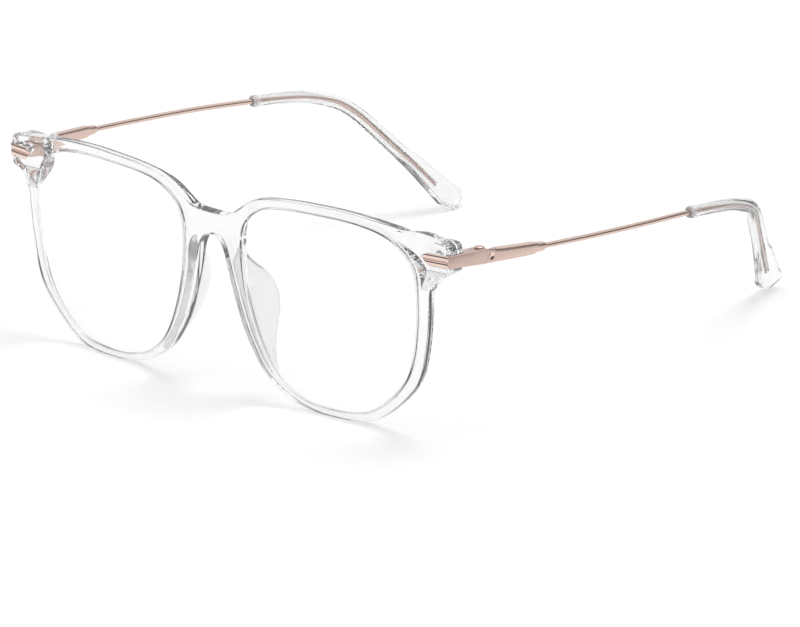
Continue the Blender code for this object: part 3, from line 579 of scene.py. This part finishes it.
def washer(where, low, side, tag):
    axis = hinge_frame()
    rings = [[axis @ Vector((u, v, t)) for u, v in disc(r, 40)]
             for r, t in ((HOLE_R + 0.02, low + 0.02), (HOLE_R + 0.04, low), (1.43, low), (1.45, low + 0.03),
                          (1.45, low + 0.11), (1.43, low + 0.14), (HOLE_R + 0.04, low + 0.14), (HOLE_R + 0.02, low + 0.12))]
    return piece(f"hinge_washer_{where}_fine_{tag}", loft(rings, False, True), side)


# ---------------------------------------------------------------- temples
def temple_path():
    return relaxed(smooth([(x, y_of(y), z) for x, y, z in TEMPLE], False, 0.5), 6, closed=False)


def frames_along(path, picks):
    out = []
    for k in picks:
        i = min(int(k), len(path) - 2)
        f = k - i
        centre = path[i] * (1 - f) + path[i + 1] * f
        a, b = path[max(i - 3, 0)], path[min(i + 4, len(path) - 1)]
        t = Vector(b - a).normalized()
        turn = float(ease((centre[1] - FRONT_Y - 112.0) / 14.0))
        across = t.cross(Vector((0, 0, 1))).normalized() * (1 - turn)
        if turn > 0:
            across += Vector((-t.z, 0, t.x)).normalized() * turn
        across = (across - t * across.dot(t)).normalized()
        out.append((Vector(centre), across, across.cross(t), t))
    return out


def index_at_y(path, back):
    return float(np.interp(y_of(back), path[:, 1], np.arange(len(path))))


def tube(path, start, end, radius, count, every=1.0):
    a, b = index_at_y(path, start), index_at_y(path, end)
    steps = max(2, int(round((b - a) / every)))
    picks = [a + (b - a) * i / steps for i in range(steps + 1)]
    return [section(c, u, v, 2 * radius, 2 * radius, count, 2.0) for c, u, v, _ in frames_along(path, picks)]


def between(stations, step):
    """Stations (place first) with smooth values between them, about one step apart."""
    rows = np.array(stations, float)
    places = []
    for a, b in zip(rows[:, 0], rows[1:, 0]):
        n = max(1, int(round((b - a) / step)))
        places += [a + (b - a) * k / n for k in range(n)]
    places.append(rows[-1, 0])
    out = []
    slopes = np.gradient(rows[:, 1:], rows[:, 0], axis=0)
    # no overshoot: a slope is zero where the value turns or stays level
    for c in range(slopes.shape[1]):
        v = rows[:, c + 1]
        for i in range(1, len(rows) - 1):
            if (v[i] - v[i - 1]) * (v[i + 1] - v[i]) <= 0:
                slopes[i, c] = 0.0
            else:
                limit = 3 * min(abs((v[i] - v[i - 1]) / (rows[i, 0] - rows[i - 1, 0])), abs((v[i + 1] - v[i]) / (rows[i + 1, 0] - rows[i, 0])))
                slopes[i, c] = math.copysign(min(abs(slopes[i, c]), limit), slopes[i, c])
    for p in places:
        i = min(max(int(np.searchsorted(rows[:, 0], p, side="right")) - 1, 0), len(rows) - 2)
        h = rows[i + 1, 0] - rows[i, 0]
        t = (p - rows[i, 0]) / h
        value = ((2 * t ** 3 - 3 * t ** 2 + 1) * rows[i, 1:] + (t ** 3 - 2 * t ** 2 + t) * h * slopes[i]
                 + (-2 * t ** 3 + 3 * t ** 2) * rows[i + 1, 1:] + (t ** 3 - t ** 2) * h * slopes[i + 1])
        out.append((p, *value))
    return out


STUD = [(0.85 * math.cos(2 * math.pi * i / 40), 1.15 * math.sin(2 * math.pi * i / 40)) for i in range(40)]


def stud_plane(path):
    c, u, v, t = frames_along(path, [index_at_y(path, 18.55)])[0]
    return Matrix.Translation(c + u * 0.83) @ Matrix((t, v, u)).transposed().to_4x4()


def temple_block(side, tag):
    path = temple_path()
    axis = hinge_frame()
    stations = [
        (SEAM_Y + 0.06, 0.72, 3.45, -0.38, 7.0), (SEAM_Y + 0.14, 0.80, 3.55, -0.38, 7.0), (19.25, 0.82, 3.55, -0.36, 6.0),
        (19.9, 1.9, 3.55, 0.10, 4.5), (24.0, 2.0, 3.45, 0.0, 3.6), (29.5, 2.0, 3.25, 0.0, 3.4), (33.0, 1.95, 3.0, 0.0, 3.2),
        (33.9, 1.8, 2.5, 0.0, 2.8), (36.0, 1.75, 2.3, 0.0, 2.4), (36.5, 1.7, 2.1, 0.0, 2.2), (36.9, 1.5, 1.7, 0.0, 2.1),
    ]
    rings = []
    for back, width, height, inward, power in between(stations, 0.35):
        c, u, v, _ = frames_along(path, [index_at_y(path, back)])[0]
        w = float(ease((back - 20.0) / 2.0))
        flat_u, flat_v = Vector((1, 0, 0)), axis.to_3x3() @ Vector((0, 0, 1))
        u, v = (flat_u * (1 - w) + u * w).normalized(), (flat_v * (1 - w) + v * w).normalized()
        rings.append(section(c - u * inward, u, v, width, height, 48, power))
    obj = piece("temple_block_fine_" + tag, loft(rings), side, 40.0)
    plan = arc(BARREL_R, 60.0, 365.0, 40) + [(1.78, 0.46), (2.3, 0.46), (2.5, 2.2), (1.6, 2.2)]
    face = stud_plane(path)
    steps = [
        ("UNION", piece("knuckle_" + tag, prism(plan, axis, -0.68, 0.68), side)),
        ("DIFFERENCE", piece("knuckle_bore_" + tag, prism(disc(HOLE_R, 32), axis, -3.0, 3.0), side)),
        ("DIFFERENCE", piece("socket_" + tag, loft(tube(path, 35.3, 39.0, BORE_R - 0.04, 32)), side)),
        ("DIFFERENCE", piece("stud_recess_" + tag, prism([(u * 1.06, v * 1.06) for u, v in STUD], face, -0.34, 2.0), side)),
    ]
    return carve(obj, steps, 38.0)


def temple_stud(side, tag):
    face = stud_plane(temple_path())
    rings = [[face @ Vector((u * k, v * k, t)) for u, v in STUD]
             for k, t in ((0.95, -0.28), (1.0, -0.22), (1.0, -0.02), (0.97, 0.03), (0.9, 0.05), (0.8, 0.02),
                          (0.6, -0.07), (0.4, -0.13), (0.2, -0.16), (0.05, -0.17))]
    return piece("temple_stud_fine_" + tag, loft(rings), side, 30.0)


def temple_wire(side, tag):
    return piece("temple_wire_fine_" + tag, loft(tube(temple_path(), 35.5, WIRE_END_Y, WIRE_R, 24, 1.5)), side, 60.0)


def temple_tip(side, tag):
    path = temple_path()
    outer = []
    for back, thick, height, shift, power in between(TIP_SHAPE, 0.5):
        c, u, v, _ = frames_along(path, [index_at_y(path, back)])[0]
        outer.append(section(c + v * shift, u, v, thick, height, 40, power))
    inner = tube(path, TIP_START_Y, WIRE_END_Y + 0.25, BORE_R, 40, 1.5)
    return piece("temple_tip_fine_" + tag, loft(outer[::-1] + inner), side, 45.0)


# ---------------------------------------------------------------- materials
def node(tree, kind, **values):
    n = tree.nodes.new(kind)
    for key, value in values.items():
        if key in n.inputs:
            n.inputs[key].default_value = value
        else:
            setattr(n, key, value)
    return n


def new_material(name):
    m = bpy.data.materials.new(name)
    m.use_nodes = True
    return m, m.node_tree, m.node_tree.nodes["Principled BSDF"], m.node_tree.nodes["Material Output"]


def clear_plastic(name, colour, rough, ior=1.49, shade=0.6, ripple=0.004, milk=0.0):
    """Moulded clear plastic: faint flow ripples and a little haze. Lamps pass through it."""
    m, tree, p, out = new_material(name)
    p.inputs["Base Color"].default_value = (*colour, 1.0)
    p.inputs["Transmission Weight"].default_value = 1.0 - milk
    p.inputs["IOR"].default_value = ior
    place = node(tree, "ShaderNodeTexCoord")
    noise = node(tree, "ShaderNodeTexNoise")
    noise.inputs["Scale"].default_value = 160.0
    noise.inputs["Detail"].default_value = 2.0
    tree.links.new(place.outputs["Object"], noise.inputs["Vector"])
    span = node(tree, "ShaderNodeMapRange")
    span.inputs["From Min"].default_value = 0.35
    span.inputs["From Max"].default_value = 0.75
    span.inputs["To Min"].default_value = rough * 0.5
    span.inputs["To Max"].default_value = rough * 1.6
    tree.links.new(noise.outputs["Fac"], span.inputs["Value"])
    tree.links.new(span.outputs["Result"], p.inputs["Roughness"])
    if ripple:
        bump = node(tree, "ShaderNodeBump")
        bump.inputs["Strength"].default_value = 0.25
        bump.inputs["Distance"].default_value = ripple * MM
        tree.links.new(noise.outputs["Fac"], bump.inputs["Height"])
        tree.links.new(bump.outputs["Normal"], p.inputs["Normal"])
    through = node(tree, "ShaderNodeBsdfTransparent")
    through.inputs["Color"].default_value = (shade, shade, shade, 1.0)
    path = node(tree, "ShaderNodeLightPath")
    mix = node(tree, "ShaderNodeMixShader")
    tree.links.new(path.outputs["Is Shadow Ray"], mix.inputs["Fac"])
    tree.links.new(p.outputs["BSDF"], mix.inputs[1])
    tree.links.new(through.outputs["BSDF"], mix.inputs[2])
    tree.links.new(mix.outputs["Shader"], out.inputs["Surface"])
    return m


def metal(name, colour, rough, grain=(900.0, 40.0, 900.0), depth=0.004, vary=0.05):
    """Plated metal: drawn grain along the piece, uneven polish and slightly uneven colour."""
    m, tree, p, out = new_material(name)
    p.inputs["Metallic"].default_value = 1.0
    place = node(tree, "ShaderNodeTexCoord")
    stretch = node(tree, "ShaderNodeMapping")
    stretch.inputs["Scale"].default_value = grain
    tree.links.new(place.outputs["Object"], stretch.inputs["Vector"])
    lines = node(tree, "ShaderNodeTexNoise")
    lines.inputs["Scale"].default_value = 8.0
    lines.inputs["Detail"].default_value = 3.0
    tree.links.new(stretch.outputs["Vector"], lines.inputs["Vector"])
    cloud = node(tree, "ShaderNodeTexNoise")
    cloud.inputs["Scale"].default_value = 220.0
    cloud.inputs["Detail"].default_value = 2.0
    tree.links.new(place.outputs["Object"], cloud.inputs["Vector"])
    tint = node(tree, "ShaderNodeMix")
    tint.data_type = "RGBA"
    tint.inputs["A"].default_value = (*[c * (1 - vary) for c in colour], 1.0)
    tint.inputs["B"].default_value = (*[min(1.0, c * (1 + vary)) for c in colour], 1.0)
    tree.links.new(cloud.outputs["Fac"], tint.inputs["Factor"])
    tree.links.new(tint.outputs["Result"], p.inputs["Base Color"])
    span = node(tree, "ShaderNodeMapRange")
    span.inputs["From Min"].default_value = 0.3
    span.inputs["From Max"].default_value = 0.7
    span.inputs["To Min"].default_value = rough * 0.75
    span.inputs["To Max"].default_value = rough * 1.3
    tree.links.new(lines.outputs["Fac"], span.inputs["Value"])
    tree.links.new(span.outputs["Result"], p.inputs["Roughness"])
    bump = node(tree, "ShaderNodeBump")
    bump.inputs["Strength"].default_value = 0.3
    bump.inputs["Distance"].default_value = depth * MM
    tree.links.new(lines.outputs["Fac"], bump.inputs["Height"])
    tree.links.new(bump.outputs["Normal"], p.inputs["Normal"])
    return m


def nylon(name):
    m, tree, p, out = new_material(name)
    place = node(tree, "ShaderNodeTexCoord")
    noise = node(tree, "ShaderNodeTexNoise")
    noise.inputs["Scale"].default_value = 900.0
    tree.links.new(place.outputs["Object"], noise.inputs["Vector"])
    tint = node(tree, "ShaderNodeMix")
    tint.data_type = "RGBA"
    tint.inputs["A"].default_value = (0.80, 0.79, 0.76, 1.0)
    tint.inputs["B"].default_value = (0.88, 0.88, 0.86, 1.0)
    tree.links.new(noise.outputs["Fac"], tint.inputs["Factor"])
    tree.links.new(tint.outputs["Result"], p.inputs["Base Color"])
    p.inputs["Roughness"].default_value = 0.45
    return m


CRYSTAL = clear_plastic("crystal_front", (0.935, 0.939, 0.950), 0.03, milk=0.02, shade=0.42)
TIP = clear_plastic("crystal_tip", (0.95, 0.95, 0.952), 0.03, ior=1.46, milk=0.05, shade=0.42)
COLLAR = clear_plastic("crystal_tip_collar", (0.80, 0.77, 0.77), 0.2, ior=1.3, milk=0.5)
LENS = clear_plastic("lens_plastic", (0.995, 0.996, 1.0), 0.0, ior=1.5, shade=0.985, ripple=0.0)
PAD = clear_plastic("nose_pad_plastic", (0.95, 0.95, 0.958), 0.03, ior=1.3, milk=0.22, shade=0.5)
ROSE = (0.80, 0.61, 0.54)
POLISHED = metal("rose_gold_polished", (0.82, 0.64, 0.57), 0.07, (40.0, 900.0, 900.0), 0.002)
PLATE = metal("rose_gold_plate", (0.64, 0.485, 0.425), 0.3)
BRUSHED = metal("rose_gold_brushed", (0.71, 0.54, 0.475), 0.3)
STUD_METAL = metal("rose_gold_stud", ROSE, 0.12, (300.0, 300.0, 300.0), 0.001)
WIRE = metal("rose_gold_wire", (0.69, 0.53, 0.465), 0.18, (700.0, 30.0, 700.0), 0.002)
SCREW = metal("rose_gold_screw", (0.76, 0.58, 0.51), 0.22, (300.0, 300.0, 300.0), 0.002)
STEEL = metal("screw_steel", (0.62, 0.60, 0.58), 0.25, (300.0, 300.0, 300.0), 0.002)
NYLON = nylon("nylon_washer")


def two_looks(obj):
    """On an endpiece, the flutes keep the polished look and the side plate and hinge take the drawn one."""
    obj.data.materials.append(PLATE)
    for face in obj.data.polygons:
        c = face.center / MM
        fluted = abs(c.x) < 70.6 and c.y < FRONT_Y + WRAP * c.x * c.x - LEAN * c.z + 0.7
        face.material_index = 0 if fluted else 1


def ground_collar(obj):
    """The raised ring at the front of a tip is taken to be cloudier than the rest."""
    obj.data.materials.append(COLLAR)
    for face in obj.data.polygons:
        if face.center.y / MM < y_of(TIP_START_Y + 1.7):
            face.material_index = 1


def finish_piece(obj, material, body, replaced):
    obj.data.materials.clear()
    obj.data.materials.append(material)
    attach(obj, body)
    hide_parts(replaced)
    return obj


finish_piece(front(), CRYSTAL, "front", "frame_front")
for side, tag in ((1, "left"), (-1, "right")):
    turn = "temple_" + tag
    finish_piece(lens(side, tag), LENS, "front", "lens_" + tag)
    finish_piece(nose_pad(side, tag), PAD, "front", "nose_pad_" + tag)
    two_looks(finish_piece(endpiece(side, tag), POLISHED, "front", "endpiece_" + tag))
    finish_piece(endpiece_screw(0, side, tag), STEEL, "front", "endpiece_screw_inner_" + tag)
    finish_piece(endpiece_screw(1, side, tag), STEEL, "front", "endpiece_screw_outer_" + tag)
    finish_piece(hinge_screw(side, tag), SCREW, "front", "hinge_screw_" + tag)
    finish_piece(washer("upper", 0.73, side, tag), NYLON, "front", "hinge_washer_upper_" + tag)
    finish_piece(washer("lower", -0.87, side, tag), NYLON, "front", "hinge_washer_lower_" + tag)
    finish_piece(temple_block(side, tag), BRUSHED, turn, "temple_block_" + tag)
    finish_piece(temple_stud(side, tag), STUD_METAL, turn, "temple_stud_" + tag)
    finish_piece(temple_wire(side, tag), WIRE, turn, "temple_wire_" + tag)
    ground_collar(finish_piece(temple_tip(side, tag), TIP, turn, "temple_tip_" + tag))

# ---------------------------------------------------------------- floor, light, camera
scene = bpy.context.scene
scene.view_settings.view_transform = "Standard"
TOWARDS = Vector((0.6453, -0.7639, 0.0))


def ramp(tree, value, stops):
    """A smooth grey ramp over 0..1. Stops are (place, brightness)."""
    curve = node(tree, "ShaderNodeValToRGB")
    curve.color_ramp.interpolation = "EASE"
    elements = curve.color_ramp.elements
    while len(elements) < len(stops):
        elements.new(0.5)
    for element, (place, level) in zip(elements, stops):
        element.position = place
        element.color = (level, level, level, 1.0)
    tree.links.new(value, curve.inputs["Fac"])
    return curve.outputs["Color"]


def blend(tree, factor, a, b):
    mix = node(tree, "ShaderNodeMix")
    mix.data_type = "RGBA"
    tree.links.new(factor, mix.inputs["Factor"])
    for name, value in (("A", a), ("B", b)):
        if isinstance(value, tuple):
            mix.inputs[name].default_value = value
        else:
            tree.links.new(value, mix.inputs[name])
    return mix.outputs["Result"]


def spot(tree, place, centre, inner, outer):
    """1 within `inner` metres of the centre, 0 beyond `outer`."""
    away = node(tree, "ShaderNodeVectorMath", operation="DISTANCE")
    tree.links.new(place, away.inputs[0])
    away.inputs[1].default_value = centre
    fade = node(tree, "ShaderNodeMapRange", interpolation_type="SMOOTHSTEP")
    fade.inputs["From Min"].default_value = inner
    fade.inputs["From Max"].default_value = outer
    fade.inputs["To Min"].default_value = 1.0
    fade.inputs["To Max"].default_value = 0.0
    tree.links.new(away.outputs["Value"], fade.inputs["Value"])
    return fade.outputs["Result"]


def larger(tree, a, b):
    top = node(tree, "ShaderNodeMath", operation="MAXIMUM")
    tree.links.new(a, top.inputs[0])
    tree.links.new(b, top.inputs[1])
    return top.outputs["Value"]


bm = bmesh.new()
bmesh.ops.create_grid(bm, x_segments=2, y_segments=2, size=4.0)
floor_mesh = bpy.data.meshes.new("floor")
bm.to_mesh(floor_mesh)
bm.free()
floor = bpy.data.objects.new("floor", floor_mesh)
floor.location = (0.0, 0.0, -0.00015)
scene.collection.objects.link(floor)
m, tree, p, out = new_material("pale_floor")
p.inputs["Roughness"].default_value = 0.9
p.inputs["Specular IOR Level"].default_value = 0.0
place = node(tree, "ShaderNodeTexCoord").outputs["Object"]
ray = node(tree, "ShaderNodeLightPath")
near = larger(tree, spot(tree, place, (0.0, 0.0, 0.0), 0.25, 0.42), spot(tree, place, -TOWARDS * 0.45, 0.45, 0.75))
shown = larger(tree, near, ray.outputs["Is Camera Ray"])
colour = blend(tree, shown, (0.11, 0.11, 0.115, 1.0), (0.94, 0.94, 0.94, 1.0))
tree.links.new(colour, p.inputs["Base Color"])
floor_mesh.materials.append(m)

world = bpy.data.worlds.new("studio")
scene.world = world
world.use_nodes = True
tree = world.node_tree
background = tree.nodes["Background"]
direction = node(tree, "ShaderNodeTexCoord").outputs["Generated"]
split = node(tree, "ShaderNodeSeparateXYZ")
tree.links.new(direction, split.inputs["Vector"])
sides = ramp(tree, split.outputs["Z"], [(0.0, 0.07), (0.14, 0.12), (0.36, 0.48), (0.56, 1.0)])
behind = ramp(tree, split.outputs["Z"], [(0.0, 0.82), (0.3, 0.9), (0.5, 1.0)])
along = node(tree, "ShaderNodeVectorMath", operation="DOT_PRODUCT")
tree.links.new(direction, along.inputs[0])
along.inputs[1].default_value = -TOWARDS
facing = node(tree, "ShaderNodeMapRange", interpolation_type="SMOOTHSTEP")
facing.inputs["From Min"].default_value = 0.60
facing.inputs["From Max"].default_value = 0.90
tree.links.new(along.outputs["Value"], facing.inputs["Value"])
tree.links.new(blend(tree, facing.outputs["Result"], sides, behind), background.inputs["Color"])
background.inputs["Strength"].default_value = 0.98

# A wide soft lamp overhead and a little behind, for the shadow where the object touches the floor.
lamp = bpy.data.lights.new("overhead", "SUN")
lamp.energy = 0.86
lamp.angle = math.radians(30.0)
overhead = bpy.data.objects.new("overhead", lamp)
overhead.rotation_euler = (-0.34, 0.08, 0.0)
scene.collection.objects.link(overhead)

camera = bpy.data.cameras.new("camera")
camera.sensor_fit = "HORIZONTAL"
camera.sensor_width = 36.0
camera.lens = 10787.8 / 800 * 36.0
camera.clip_start = 0.1
camera.clip_end = 20.0
back = Vector((0.61384, -0.72666, 0.30828)).normalized()
right = Vector((0.76263, 0.64674, 0.00603))
right = (right - back * right.dot(back)).normalized()
up = back.cross(right)
view = bpy.data.objects.new("camera", camera)
scene.collection.objects.link(view)
view.matrix_world = Matrix.Translation((1.65250, (-1886.98 + FRONT_Y) * MM, 0.83241)) @ Matrix((right, up, back)).transposed().to_4x4()
scene.camera = view
